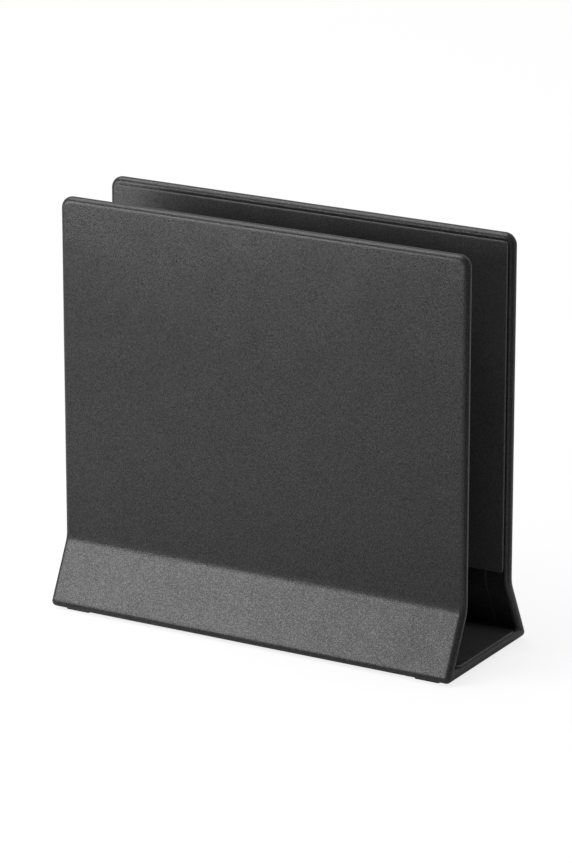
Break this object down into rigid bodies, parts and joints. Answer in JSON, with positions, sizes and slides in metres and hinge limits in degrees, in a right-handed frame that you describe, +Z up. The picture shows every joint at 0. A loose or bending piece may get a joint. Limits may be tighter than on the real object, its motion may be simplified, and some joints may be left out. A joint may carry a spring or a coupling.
{
  "type": "napkin holder",
  "caption": "Open-ended upright napkin holder: a bent steel plate with a flared foot, wrapped and lined in black leather, on rubber feet.",
  "frame": {"origin": "centre of the footprint, at the height of the table under the feet", "axes": "+X along the holder's width, the way the slot runs through; +Y to the rear across the slot; +Z up"},
  "size_m": [0.18, 0.0642, 0.167],
  "materials": {
    "core_steel": "mill finish sheet, hidden inside the leather",
    "cover_leather": "fine pebble grain, soft semi-matt sheen",
    "liner_leather": "fine pebble grain, matt, with raw cut edges",
    "foot_rubber": "matt"
  },
  "bodies": {
    "root": {"steel_core": "core_steel", "outer_cover": "cover_leather", "front_wall_liner": "liner_leather", "rear_wall_liner": "liner_leather", "front_flare_liner": "liner_leather", "rear_flare_liner": "liner_leather", "floor_liner": "liner_leather", "foot_front_left": "foot_rubber", "foot_front_right": "foot_rubber", "foot_rear_left": "foot_rubber", "foot_rear_right": "foot_rubber"}
  },
  "joints": []
}
